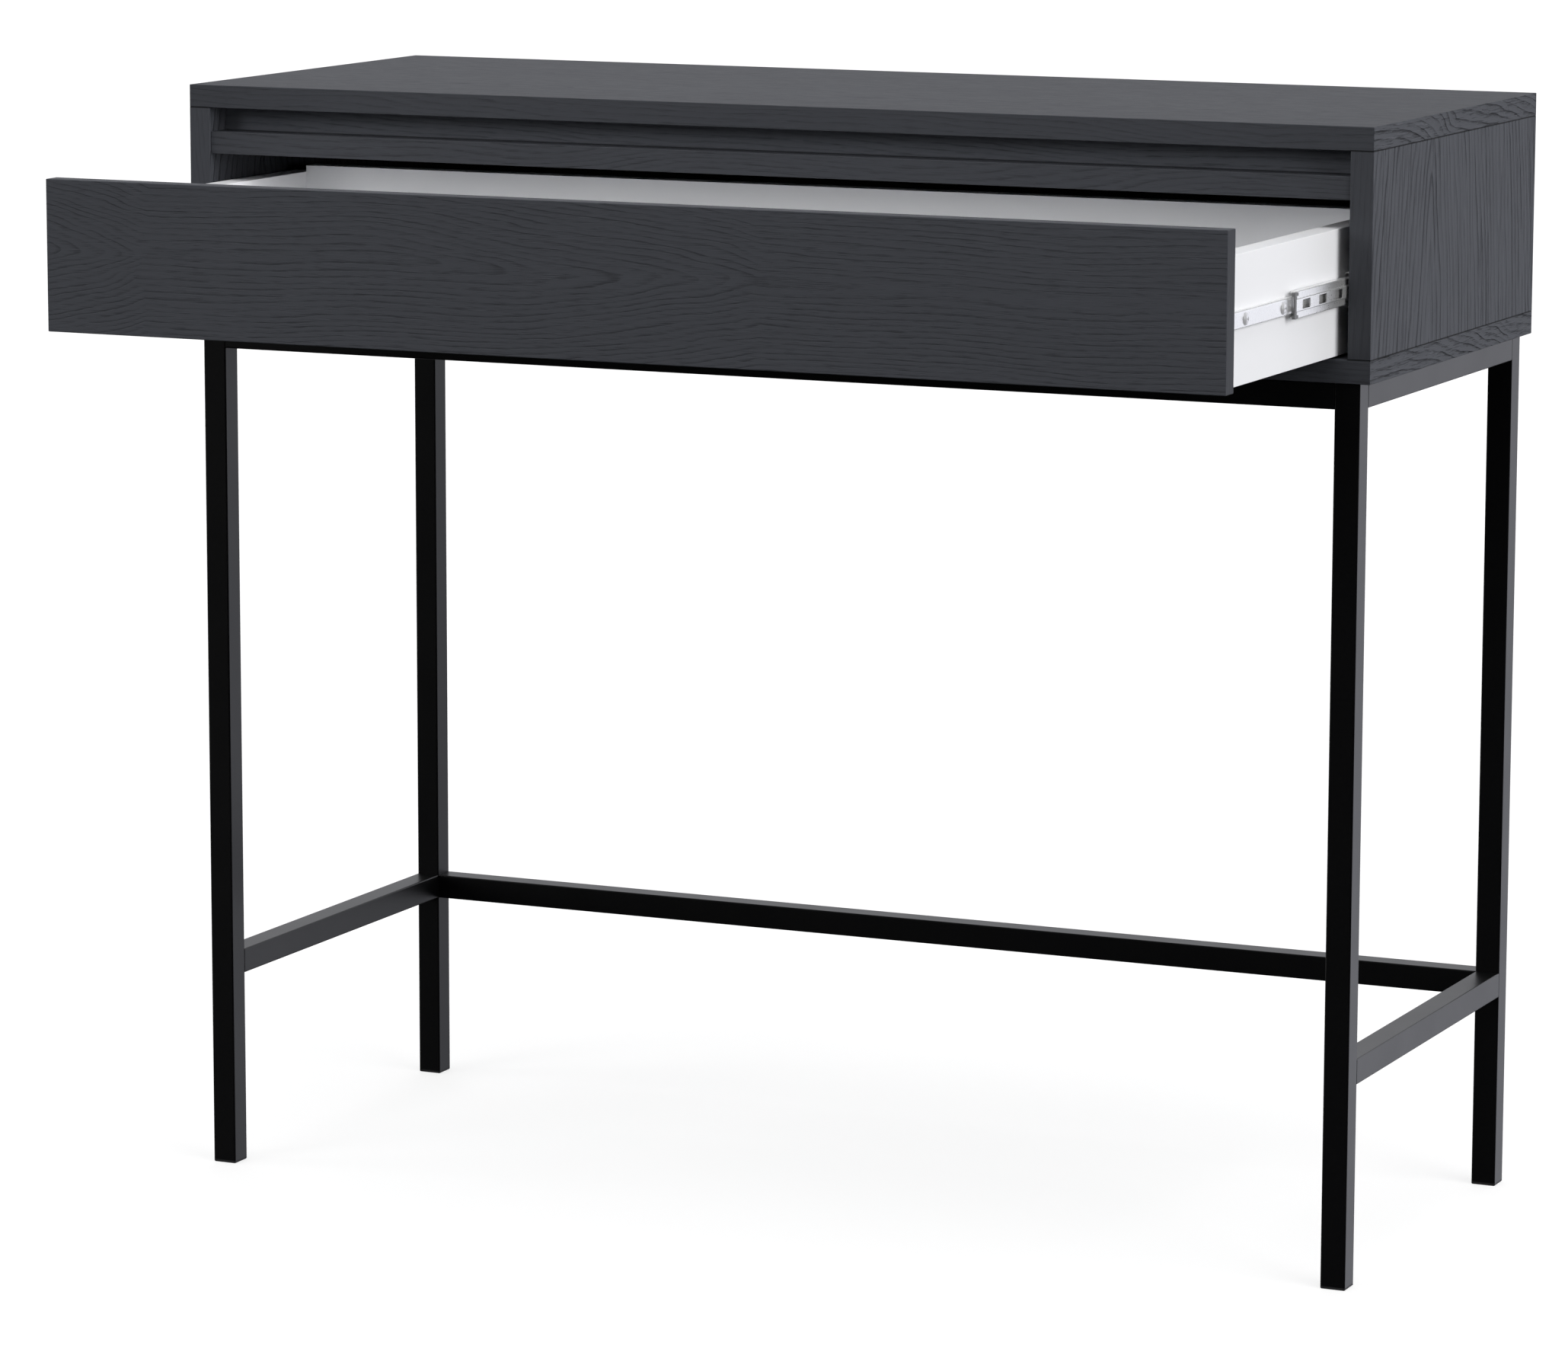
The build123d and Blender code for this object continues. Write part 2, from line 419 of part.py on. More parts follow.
# Countersunk screws that hold the frame to the bottom panel, driven from below.
frame_screws = []
screw_at = [("side", s * (LEG_IN_X + TUBE / 2), y) for s in (1, -1) for y in (90.0, 298.0)]
screw_at += [("front", x, LEG_FRONT_Y + TUBE / 2) for x in (-240.0, 240.0)]
screw_at += [("rear", x, LEG_REAR_Y + TUBE / 2) for x in (-240.0, 240.0)]
for where, x, y in screw_at:
    hole = turned([(0, -1), (3.97, -1), (3.97, 0), (2.3, 1.67), (2.3, TUBE + 1), (0, TUBE + 1)],
                  (x, y, RAIL_FRAME_Z), (0, 0, 1))
    if where == "side" and x > 0:
        right_rail -= hole
    elif where == "front":
        front_frame_rail -= hole
    elif where == "rear":
        rear_frame_rail -= hole
    bottom -= turned([(0, -1), (2.05, -1), (2.05, 10.2), (0, 13.2)], (x, y, BOTTOM_Z), (0, 0, 1))
    s = turned([(0, 0.2), (3.6, 0.2), (3.6, 0.3), (2.0, 1.9), (2.0, 30), (0, 33)], (x, y, RAIL_FRAME_Z), (0, 0, 1))
    s -= block(x - 2.0, x + 2.0, y - 0.45, y + 0.45, RAIL_FRAME_Z, RAIL_FRAME_Z + 1.3)
    s -= block(x - 0.45, x + 0.45, y - 2.0, y + 2.0, RAIL_FRAME_Z, RAIL_FRAME_Z + 1.3)
    frame_screws.append(s)

# --------------------------------------------------------------------- files
save("top_panel", worktop)
save("bottom_panel", bottom)
save("right_side_panel", side)
save("left_side_panel", mirrored(side))
save("back_panel", back)
save("front_rail", rail)
save("recess_strip", strip)
save("front_right_leg", right_front_leg)
save("rear_right_leg", right_rear_leg)
save("front_left_leg", mirrored(right_front_leg))
save("rear_left_leg", mirrored(right_rear_leg))
save("right_frame_rail", right_rail)
save("left_frame_rail", mirrored(right_rail))
save("front_frame_rail", front_frame_rail)
save("rear_frame_rail", rear_frame_rail)
save("right_stretcher", right_stretcher)
save("left_stretcher", mirrored(right_stretcher))
save("rear_stretcher", rear_stretcher)
save("foot_glides", *glides)
save("frame_screws", *frame_screws)
save("carcass_cams", *carcass_cams)
save("carcass_cam_bolts", *carcass_bolts)
save("wood_dowels", *carcass_dowels, *rail_dowels)
save("strip_screws", *strip_screws)
save("back_panel_nails", *nails)
save("cabinet_member_screws", *cabinet_screws, *[mirrored(s) for s in cabinet_screws])

MID = -DRAWER_OUT / 2
for name, flip in (("right", False), ("left", True)):
    put = (lambda s: mirrored(s)) if flip else (lambda s: s)
    save(f"{name}_cabinet_member", put(cabinet_member))
    save(f"{name}_middle_member", put(middle_member), dy=MID)
    save(f"{name}_middle_stop", put(stop), dy=MID)
    save(f"{name}_outer_cage", put(outer_cage), dy=-DRAWER_OUT / 4)
    save(f"{name}_outer_balls", *[put(b) for b in outer_balls], dy=-DRAWER_OUT / 4)
    save(f"{name}_inner_cage", *[put(c) for c in inner_cage], dy=-0.75 * DRAWER_OUT)
    save(f"{name}_inner_balls", *[put(b) for b in inner_balls], dy=-0.75 * DRAWER_OUT)
    save(f"{name}_drawer_member", put(drawer_member), dy=-DRAWER_OUT)

save("drawer_front", front, dy=-DRAWER_OUT)
save("drawer_right_side", dside, dy=-DRAWER_OUT)
save("drawer_left_side", mirrored(dside), dy=-DRAWER_OUT)
save("drawer_back", dback, dy=-DRAWER_OUT)
save("drawer_bottom", base, dy=-DRAWER_OUT)
save("drawer_cams", *drawer_cams, dy=-DRAWER_OUT)
save("drawer_cam_bolts", *drawer_bolts, dy=-DRAWER_OUT)
save("drawer_dowels", *drawer_dowels, dy=-DRAWER_OUT)
save("drawer_back_screws", *back_screws, dy=-DRAWER_OUT)
save("drawer_bottom_tacks", *base_tacks, dy=-DRAWER_OUT)
save("drawer_member_screws", *drawer_screws, *[mirrored(s) for s in drawer_screws], dy=-DRAWER_OUT)
print(len(nodes), "nodes")
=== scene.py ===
import math

import bpy
from mathutils import Matrix, Vector

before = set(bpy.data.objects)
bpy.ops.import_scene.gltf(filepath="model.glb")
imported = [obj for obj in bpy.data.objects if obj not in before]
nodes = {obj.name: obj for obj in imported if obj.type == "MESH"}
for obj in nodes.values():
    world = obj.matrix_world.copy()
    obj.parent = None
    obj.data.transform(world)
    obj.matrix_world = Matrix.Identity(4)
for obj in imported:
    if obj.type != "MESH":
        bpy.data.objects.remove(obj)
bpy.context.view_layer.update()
scene = bpy.context.scene


# ----------------------------------------------------------- node shorthand
class Graph:
    """Short calls for building a material. Values may be sockets or numbers."""

    def __init__(self, name):
        self.material = bpy.data.materials.new(name)
        self.material.use_nodes = True
        self.tree = self.material.node_tree
        self.tree.nodes.clear()
        self.out = self.tree.nodes.new("ShaderNodeOutputMaterial")
        self.shader = self.tree.nodes.new("ShaderNodeBsdfPrincipled")
        self.tree.links.new(self.shader.outputs[0], self.out.inputs["Surface"])
        tc = self.tree.nodes.new("ShaderNodeTexCoord")
        mm = self.vec("SCALE", tc.outputs["Object"], scale=1000.0)
        self.point = mm  # object coordinates in millimetres
        self.normal = tc.outputs["Normal"]

    def put(self, socket, value):
        if isinstance(value, bpy.types.NodeSocket):
            self.tree.links.new(value, socket)
        elif isinstance(value, (tuple, list)) and len(value) == 3 and len(socket.default_value) == 4:
            socket.default_value = (*value, 1.0)
        else:
            socket.default_value = value

    def math(self, op, a, b=None, c=None, clamp=False):
        n = self.tree.nodes.new("ShaderNodeMath")
        n.operation = op
        n.use_clamp = clamp
        for i, v in enumerate((a, b, c)):
            if v is not None:
                self.put(n.inputs[i], v)
        return n.outputs[0]

    def vec(self, op, a, b=None, scale=None):
        n = self.tree.nodes.new("ShaderNodeVectorMath")
        n.operation = op
        self.put(n.inputs[0], a)
        if b is not None:
            self.put(n.inputs[1], b)
        if scale is not None:
            self.put(n.inputs["Scale"], scale)
        return n.outputs["Value"] if op in ("DOT_PRODUCT", "LENGTH") else n.outputs["Vector"]

    def split(self, v):
        n = self.tree.nodes.new("ShaderNodeSeparateXYZ")
        self.put(n.inputs[0], v)
        return n.outputs

    def join(self, x, y, z):
        n = self.tree.nodes.new("ShaderNodeCombineXYZ")
        for i, v in enumerate((x, y, z)):
            self.put(n.inputs[i], v)
        return n.outputs[0]

    def noise(self, v, scale=1.0, detail=2.0, rough=0.5, distortion=0.0):
        n = self.tree.nodes.new("ShaderNodeTexNoise")
        self.put(n.inputs["Vector"], v)
        n.inputs["Scale"].default_value = scale
        n.inputs["Detail"].default_value = detail
        n.inputs["Roughness"].default_value = rough
        n.inputs["Distortion"].default_value = distortion
        return n.outputs["Fac"]

    def voronoi(self, v, scale=1.0, feature="F1", output="Distance"):
        n = self.tree.nodes.new("ShaderNodeTexVoronoi")
        n.feature = feature
        self.put(n.inputs["Vector"], v)
        n.inputs["Scale"].default_value = scale
        return n.outputs[output]

    def fade(self, v, lo, hi, a=0.0, b=1.0):
        """Smooth step of v from lo to hi, giving a to b."""
        n = self.tree.nodes.new("ShaderNodeMapRange")
        n.interpolation_type = "SMOOTHSTEP"
        self.put(n.inputs["Value"], v)
        self.put(n.inputs["From Min"], lo)
        self.put(n.inputs["From Max"], hi)
        self.put(n.inputs["To Min"], a)
        self.put(n.inputs["To Max"], b)
        return n.outputs[0]

    def mixv(self, f, a, b):
        n = self.tree.nodes.new("ShaderNodeMix")
        n.data_type = "VECTOR"
        self.put(n.inputs[0], f)
        self.put(n.inputs[4], a)
        self.put(n.inputs[5], b)
        return n.outputs[1]

    def mixf(self, f, a, b):
        n = self.tree.nodes.new("ShaderNodeMix")
        n.data_type = "FLOAT"
        self.put(n.inputs[0], f)
        self.put(n.inputs[2], a)
        self.put(n.inputs[3], b)
        return n.outputs[0]

    def tint(self, f, a, b):
        n = self.tree.nodes.new("ShaderNodeMix")
        n.data_type = "RGBA"
        self.put(n.inputs[0], f)
        self.put(n.inputs[6], a)
        self.put(n.inputs[7], b)
        return n.outputs[2]

    def bump(self, height, distance, strength=1.0, under=None):
        n = self.tree.nodes.new("ShaderNodeBump")
        n.inputs["Distance"].default_value = distance
        n.inputs["Strength"].default_value = strength
        self.put(n.inputs["Height"], height)
        if under is not None:
            self.put(n.inputs["Normal"], under)
        return n.outputs[0]

    def facing(self):
        """1 where the surface faces along X, and 1 where it faces along Y."""
        x, y, z = self.split(self.vec("ABSOLUTE", self.normal))
        return self.math("GREATER_THAN", x, 0.707), self.math("GREATER_THAN", y, 0.707)

    def set(self, **values):
        for name, value in values.items():
            self.put(self.shader.inputs[name.replace("_", " ")], value)


AXES = {"x": (1.0, 0.0, 0.0), "y": (0.0, 1.0, 0.0), "z": (0.0, 0.0, 1.0)}


# ------------------------------------------------------------- wood decor
def wood(name, faces, seed, tone=(0.0518, 0.0546, 0.0632), seams=()):
    """Dark ash decor foil with its grain embossed.

    faces gives, for the faces that look along x, y and z: the axis that the
    grain follows, the axis across it, the spacing of the growth rings, the
    middle of the cathedral figure across the grain, two figures (where the
    arches close, how long they run and how far they draw the rings in), how
    deep the embossing is, how strong the colour of the grain is, a factor of
    painted light and shade for those faces, and how far the strokes are drawn out (optional).
    seams are heights at which the end of this board meets another one.
    """
    g = Graph(name)
    fx, fy = g.facing()

    def pick(i, vector=False):
        a, b, c = ((*faces[k], 1.0)[i] for k in "xyz")
        if vector:
            a, b, c = AXES[a], AXES[b], AXES[c]
            return g.mixv(fx, g.mixv(fy, c, b), a)
        return g.mixf(fx, g.mixf(fy, float(c), float(b)), float(a))

    along = g.vec("DOT_PRODUCT", g.point, pick(0, True))
    across = g.vec("DOT_PRODUCT", g.point, pick(1, True))
    ring, mid, end1, len1, amp1, end2, len2, amp2, relief, ink, shade, drawn = (pick(i) for i in range(2, 14))
    stroke = g.math("DIVIDE", along, drawn)
    side = g.math("ADD", g.math("MULTIPLY", fx, 31.7), g.math("MULTIPLY_ADD", fy, 17.3, seed))

    def field(la, lc, shift, detail=2.0, rough=0.5, other=None, run=along):
        """Noise with features about la mm long and lc mm wide."""
        v = g.join(g.math("DIVIDE", run, la), g.math("DIVIDE", across if other is None else other, lc),
                   g.math("ADD", side, shift))
        return g.noise(v, 1.0, detail, rough)

    def swing(f, amount):
        return g.math("MULTIPLY", g.math("SUBTRACT", f, 0.5), amount)

    # rings: straight, but drawn in towards the middle line along each figure,
    # so that they close in nested arches
    c = g.math("ADD", g.math("SUBTRACT", across, mid), swing(field(310.0, 900.0, 3.1, 1.0), 30.0))
    r = g.math("SQRT", g.math("MULTIPLY_ADD", c, c, 30.0))
    shifted = g.math("ADD", along, swing(field(60.0, 26.0, 5.7, 1.0), 46.0))
    for end, length, amp in ((end1, len1, amp1), (end2, len2, amp2)):
        t = g.math("ADD", g.math("DIVIDE", g.math("SUBTRACT", shifted, end), length), 1.0, clamp=True)
        r = g.math("ADD", r, g.math("MULTIPLY", g.math("MULTIPLY", t, t), amp))
    r = g.math("ADD", r, swing(field(240.0, 30.0, 9.4, 1.0), 13.0))
    r = g.math("ADD", r, swing(field(38.0, 7.0, 15.2, 2.0, 0.6), 2.6))
    q = g.math("DIVIDE", r, ring)
    s = g.math("FRACT", q)
    number = g.math("FLOOR", q)

    # each ring ends in a thin dark line, torn into strokes of its own
    groove = g.math("MULTIPLY", g.fade(s, 0.58, 0.84), g.fade(s, 0.86, 0.99, 1.0, 0.0))
    torn = g.fade(field(42.0, 0.37, 22.8, 2.0, 0.65, other=number, run=stroke), 0.40, 0.62)
    line = g.math("MULTIPLY", groove, torn)
    # pores always run straight along the board, and crowd towards the line
    early = g.math("MULTIPLY", g.fade(s, 0.20, 0.80), g.fade(s, 0.90, 1.0, 1.0, 0.0))
    crowd = g.math("MULTIPLY", early, 0.10)
    width = g.math("MINIMUM", ring, 6.6)
    fine = field(17.0, g.math("MULTIPLY", width, 0.18), 41.0, 2.0, 0.55, run=stroke)
    pore = g.fade(g.math("ADD", fine, crowd), 0.575, 0.70)
    # long strokes come in bands, with calm wood between them
    calm = g.mixf(g.math("GREATER_THAN", drawn, 1.5), 1.0, g.fade(field(900.0, 46.0, 83.0, 1.0), 0.36, 0.60, 0.30, 1.0))
    pore = g.math("MULTIPLY", pore, calm)
    # pale streaks between them
    pale = g.fade(field(32.0, g.math("MULTIPLY", width, 0.24), 49.0, 2.0, 0.6, run=stroke), 0.55, 0.70)
    pale = g.math("MULTIPLY", pale, calm)
    pale = g.math("MULTIPLY", pale, g.math("MULTIPLY_ADD", early, 0.9, 0.5))
    hair = field(55.0, 0.42, 57.0, 1.0, 0.5, other=r, run=stroke)
    cloud = g.math("SUBTRACT", field(210.0, 50.0, 71.0, 3.0), 0.5)

    dark = g.math("ADD", g.math("MULTIPLY", line, 0.20), g.math("MULTIPLY", pore, 0.19))
    dark = g.math("SUBTRACT", dark, g.math("MULTIPLY", pale, 0.12))
    dark = g.math("ADD", dark, g.math("MULTIPLY", early, 0.05))
    dark = g.math("ADD", dark, swing(hair, 0.10))
    dark = g.math("MULTIPLY", dark, ink)
    light = g.math("SUBTRACT", 1.065, dark)
    light = g.math("ADD", light, g.math("MULTIPLY", cloud, 0.11))
    # painted highlight: the foil is painted paler along the rounded arrises, in patches
    nx, ny, nz = g.split(g.vec("ABSOLUTE", g.normal))
    flat = g.math("MAXIMUM", nx, g.math("MAXIMUM", ny, nz))
    arris_highlight = g.math("MULTIPLY", g.fade(flat, 0.80, 0.97, 1.0, 0.0), g.fade(g.noise(g.point, 0.09, 3.0, 0.6), 0.42, 0.66))
    light = g.math("ADD", light, g.math("MULTIPLY", arris_highlight, 0.20))
    # painted shade: a thin dark line on the foil at each seam, partly the joint itself and partly the shade in its
    # crack
    if seams:
        px, py, pz = g.split(g.point)
        joint_line_and_shade = None
        for z in seams:
            near = g.fade(g.math("ABSOLUTE", g.math("SUBTRACT", pz, z)), 0.35, 0.85, 1.0, 0.0)
            joint_line_and_shade = near if joint_line_and_shade is None else g.math("MAXIMUM", joint_line_and_shade, near)
        joint_line_and_shade = g.math("MULTIPLY", joint_line_and_shade, g.math("GREATER_THAN", g.math("ABSOLUTE", px), 481.6))
        light = g.math("MULTIPLY", light, g.math("MULTIPLY_ADD", joint_line_and_shade, -0.80, 1.0))
    # painted light and shade: shade makes the foil's colour lighter or darker for each face direction, standing in for
    # how light falls on that side
    g.set(Base_Color=g.vec("SCALE", tone, scale=g.math("MULTIPLY", light, shade)))

    height = g.math("MULTIPLY", g.math("ADD", line, g.math("MULTIPLY", pore, 0.40)), -1.0)
    height = g.math("ADD", height, g.math("MULTIPLY", pale, 0.35))
    height = g.math("ADD", height, g.math("MULTIPLY", hair, 0.12))
    g.set(Normal=g.bump(g.math("MULTIPLY", height, relief), 0.001))
    rough = g.math("ADD", 0.58, g.math("MULTIPLY", dark, 0.22))
    g.set(Roughness=g.math("ADD", rough, g.math("MULTIPLY", cloud, 0.06)))
    g.shader.inputs["Specular IOR Level"].default_value = 0.22
    return g.material


# ------------------------------------------------------------- other finishes
def powder_coat():
    """Black powder coat: satin, with a fine orange peel."""
    g = Graph("powder_coat_black")
    peel = g.noise(g.point, 0.85, 2.0, 0.55)
    grit = g.noise(g.point, 4.5, 1.0, 0.5)
    cloud = g.noise(g.vec("SCALE", g.point, scale=1.0), 0.02, 3.0, 0.5)
    g.set(Base_Color=g.tint(g.fade(peel, 0.3, 0.7), (0.0013, 0.0013, 0.0015), (0.0021, 0.0021, 0.0024)))
    rough = g.math("MULTIPLY_ADD", cloud, 0.06, 0.30)
    g.set(Roughness=g.math("MULTIPLY_ADD", grit, 0.05, rough))
    h = g.math("ADD", peel, g.math("MULTIPLY", grit, 0.12))
    g.set(Normal=g.bump(h, 0.00003, 0.6))
    return g.material


def melamine(name, tone):
    """White melamine foil on the drawer's boards."""
    g = Graph(name)
    fleck = g.noise(g.point, 1.6, 3.0, 0.6)
    cloud = g.noise(g.point, 0.012, 2.0, 0.5)
    shade = g.math("ADD", g.math("MULTIPLY_ADD", fleck, 0.030, 0.970), g.math("MULTIPLY", cloud, 0.02))
    g.set(Base_Color=g.vec("SCALE", tone, scale=shade))
    g.set(Roughness=g.math("MULTIPLY_ADD", fleck, 0.14, 0.36))
    g.set(Normal=g.bump(fleck, 0.00004, 0.5))
    return g.material


def zinc(name, tone, rough, along="y", metal=0.85):
    """Pale zinc-plated steel strip with the faint lines of rolling."""
    g = Graph(name)
    stretch = {"x": (0.02, 1.0, 1.0), "y": (1.0, 0.02, 1.0), "z": (1.0, 1.0, 0.02)}[along]
    drawn = g.noise(g.vec("MULTIPLY", g.point, stretch), 5.0, 3.0, 0.6)
    mottle = g.noise(g.point, 0.35, 3.0, 0.6)
    shade = g.math("ADD", g.math("MULTIPLY_ADD", drawn, 0.10, 0.90), g.math("MULTIPLY", g.math("SUBTRACT", mottle, 0.5), 0.10))
    g.set(Base_Color=g.vec("SCALE", tone, scale=shade))
    g.shader.inputs["Metallic"].default_value = metal
    g.set(Roughness=g.math("ADD", g.math("MULTIPLY_ADD", drawn, 0.10, rough), g.math("MULTIPLY", mottle, 0.08)))
    g.set(Normal=g.bump(drawn, 0.00002, 0.6))
    return g.material


def bright_steel(name, tone, rough, metal=1.0):
    """Turned or cold-headed steel, with fine marks all over."""
    g = Graph(name)
    mark = g.noise(g.point, 3.0, 3.0, 0.6)
    g.set(Base_Color=g.vec("SCALE", tone, scale=g.math("MULTIPLY_ADD", mark, 0.12, 0.90)))
    g.shader.inputs["Metallic"].default_value = metal
    g.set(Roughness=g.math("MULTIPLY_ADD", mark, 0.12, rough))
    g.set(Normal=g.bump(mark, 0.00002, 0.5))
    return g.material


def plastic(name, tone, rough, grain=1.2):
    """Injection-moulded plastic with a fine spark-eroded grain."""
    g = Graph(name)
    spark = g.noise(g.point, grain * 2.5, 3.0, 0.6)
    flow = g.noise(g.point, 0.15, 2.0, 0.5)
    g.set(Base_Color=g.vec("SCALE", tone, scale=g.math("ADD", 0.88, g.math("ADD", g.math("MULTIPLY", spark, 0.12), g.math("MULTIPLY", flow, 0.12)))))
    g.set(Roughness=g.math("MULTIPLY_ADD", spark, 0.16, rough))
    g.set(Normal=g.bump(spark, 0.00004, 0.6))
    return g.material


def hardboard():
    """Thin fibreboard with a charcoal print on the face and brown fibre on its edges."""
    g = Graph("hardboard_charcoal")
    fx, fy = g.facing()
    fibre = g.noise(g.vec("MULTIPLY", g.point, (1.0, 1.0, 1.6)), 0.9, 4.0, 0.65, 0.6)
    fleck = g.fade(g.noise(g.point, 2.2, 2.0, 0.6), 0.55, 0.75)
    cloud = g.noise(g.point, 0.01, 3.0, 0.5)
    shade = g.math("ADD", g.math("MULTIPLY_ADD", fibre, 0.36, 0.78), g.math("MULTIPLY", cloud, 0.12))
    face = g.vec("SCALE", (0.034, 0.035, 0.038), scale=g.math("SUBTRACT", shade, g.math("MULTIPLY", fleck, 0.12)))
    edge = g.vec("SCALE", (0.16, 0.098, 0.055), scale=shade)
    g.set(Base_Color=g.tint(fy, edge, face))
    g.set(Roughness=g.math("MULTIPLY_ADD", fibre, 0.22, 0.48))
    g.set(Normal=g.bump(fibre, 0.00012, 0.6))
    return g.material


def beech():
    """Fluted beech dowels."""
    g = Graph("beech_dowel")
    grain = g.noise(g.vec("MULTIPLY", g.point, (0.5, 0.5, 0.06)), 3.0, 3.0, 0.6)
    ray = g.fade(g.noise(g.point, 2.4, 2.0, 0.6), 0.60, 0.72)
    base = g.tint(grain, (0.62, 0.43, 0.26), (0.44, 0.27, 0.14))
    g.set(Base_Color=g.tint(g.math("MULTIPLY", ray, 0.5), base, (0.33, 0.19, 0.10)))
    g.set(Roughness=g.math("MULTIPLY_ADD", grain, 0.2, 0.55))
    g.set(Normal=g.bump(grain, 0.00006, 0.6))
    return g.material


def cam_zinc():
    """Die-cast zinc cams."""
    g = Graph("cam_die_cast")
    skin = g.noise(g.point, 1.1, 4.0, 0.65)
    g.set(Base_Color=g.vec("SCALE", (0.47, 0.48, 0.50), scale=g.math("MULTIPLY_ADD", skin, 0.4, 0.78)))
    g.shader.inputs["Metallic"].default_value = 1.0
    g.set(Roughness=g.math("MULTIPLY_ADD", skin, 0.2, 0.38))
    g.set(Normal=g.bump(skin, 0.00006, 0.7))
    return g.material


def give(material, *names):
    for name in names:
        o = nodes[name]
        o.data.materials.clear()
        o.data.materials.append(material)


def both(name):
    return ["left_" + name, "right_" + name]


# each face: grain axis, cross axis, ring, middle, figure 1 and 2 (end, length, pull), relief, ink, shade (painted light
# and shade: that side's foil made lighter or darker by how light falls on it)
give(wood("decor_worktop", {"x": ("y", "z", 6.4, 806.0, 520.0, 760.0, 118.0, 130.0, 150.0, 20.0, 0.60, 1.8, 1.03),
                            "y": ("x", "z", 4.2, 852.0, -180.0, 300.0, 18.0, 420.0, 360.0, 20.0, 0.08, 0.8, 0.745),
                            "z": ("x", "y", 5.0, 40.0, -210.0, 420.0, 40.0, 330.0, 460.0, 44.0, 0.09, 1.35, 0.83)},
          1.7, seams=(866.0,)), "top_panel")
give(wood("decor_bottom", {"x": ("y", "z", 6.4, 664.0, 260.0, 330.0, 62.0, 520.0, 260.0, 60.0, 0.60, 1.8, 1.03),
                           "y": ("x", "z", 4.2, 716.0, -260.0, 300.0, 18.0, 260.0, 360.0, 20.0, 0.08, 0.9, 0.925),
                           "z": ("x", "y", 5.0, 60.0, -60.0, 420.0, 40.0, 440.0, 460.0, 44.0, 0.08, 0.9, 1.0)},
          6.2, seams=(711.0,)), "bottom_panel")
give(wood("decor_right_side", {"x": ("z", "y", 8.6, 62.0, 925.0, 300.0, 40.0, 1400.0, 200.0, 0.0, 0.80, 1.5, 1.11, 3.2),
                               "y": ("z", "x", 4.4, 520.0, 900.0, 260.0, 14.0, 1400.0, 200.0, 0.0, 0.05, 0.5, 0.755),
                               "z": ("y", "x", 4.4, 490.0, 100.0, 200.0, 14.0, 340.0, 200.0, 14.0, 0.10, 1.0, 1.0)},
          11.9, seams=(711.0, 866.0)), "right_side_panel")
give(wood("decor_left_side", {"x": ("z", "y", 9.0, 20.0, 930.0, 320.0, 46.0, 1400.0, 200.0, 0.0, 0.80, 1.6, 1.04, 3.2),
                              "y": ("z", "x", 4.4, -520.0, 880.0, 260.0, 14.0, 1400.0, 200.0, 0.0, 0.05, 0.5, 0.86),
                              "z": ("y", "x", 4.4, -490.0, 160.0, 200.0, 14.0, 340.0, 200.0, 14.0, 0.10, 1.0, 1.0)},
          19.3, seams=(711.0, 866.0)), "left_side_panel")
give(wood("decor_drawer_front", {"x": ("z", "y", 4.0, -300.0, 800.0, 200.0, 16.0, 1400.0, 200.0, 0.0, 0.03, 0.45, 0.71),
                                 "y": ("x", "z", 4.3, 776.0, -395.0, 190.0, 30.0, 118.0, 330.0, 34.0, 0.11, 1.1, 0.95),
                                 "z": ("x", "y", 4.4, -310.0, -300.0, 260.0, 14.0, 200.0, 300.0, 14.0, 0.10, 1.0, 1.0)},
          24.6), "drawer_front")
give(wood("decor_front_rail", {"x": ("y", "z", 5.0, 838.0, 20.0, 100.0, 10.0, 300.0, 100.0, 0.0, 0.10, 1.0, 1.0),
                               "y": ("x", "z", 4.2, 854.0, -60.0, 340.0, 20.0, 380.0, 300.0, 16.0, 0.09, 1.0, 0.755),
                               "z": ("x", "y", 4.4, -20.0, -100.0, 300.0, 16.0, 320.0, 360.0, 16.0, 0.10, 1.0, 1.0)},
          31.4), "front_rail")
# painted light: the strip's front shade of 1.60 paints it lighter than the rest of the foil, lifting the shade it sits
# in under the worktop
give(wood("decor_recess_strip", {"x": ("y", "z", 5.0, 856.0, 0.0, 100.0, 10.0, 300.0, 100.0, 0.0, 0.10, 1.0, 1.0),
                                 "y": ("x", "z", 4.2, 838.0, -150.0, 320.0, 16.0, 300.0, 360.0, 18.0, 0.09, 1.0, 1.60),
                                 "z": ("x", "y", 4.4, -30.0, 0.0, 300.0, 16.0, 400.0, 300.0, 16.0, 0.10, 1.0, 1.0)},
          38.8), "recess_strip")

give(powder_coat(), "front_left_leg", "front_right_leg", "rear_left_leg", "rear_right_leg",
     "left_frame_rail", "right_frame_rail", "front_frame_rail", "rear_frame_rail",
     "left_stretcher", "right_stretcher", "rear_stretcher")
give(melamine("melamine_white", (0.870, 0.873, 0.890)), "drawer_left_side", "drawer_right_side")
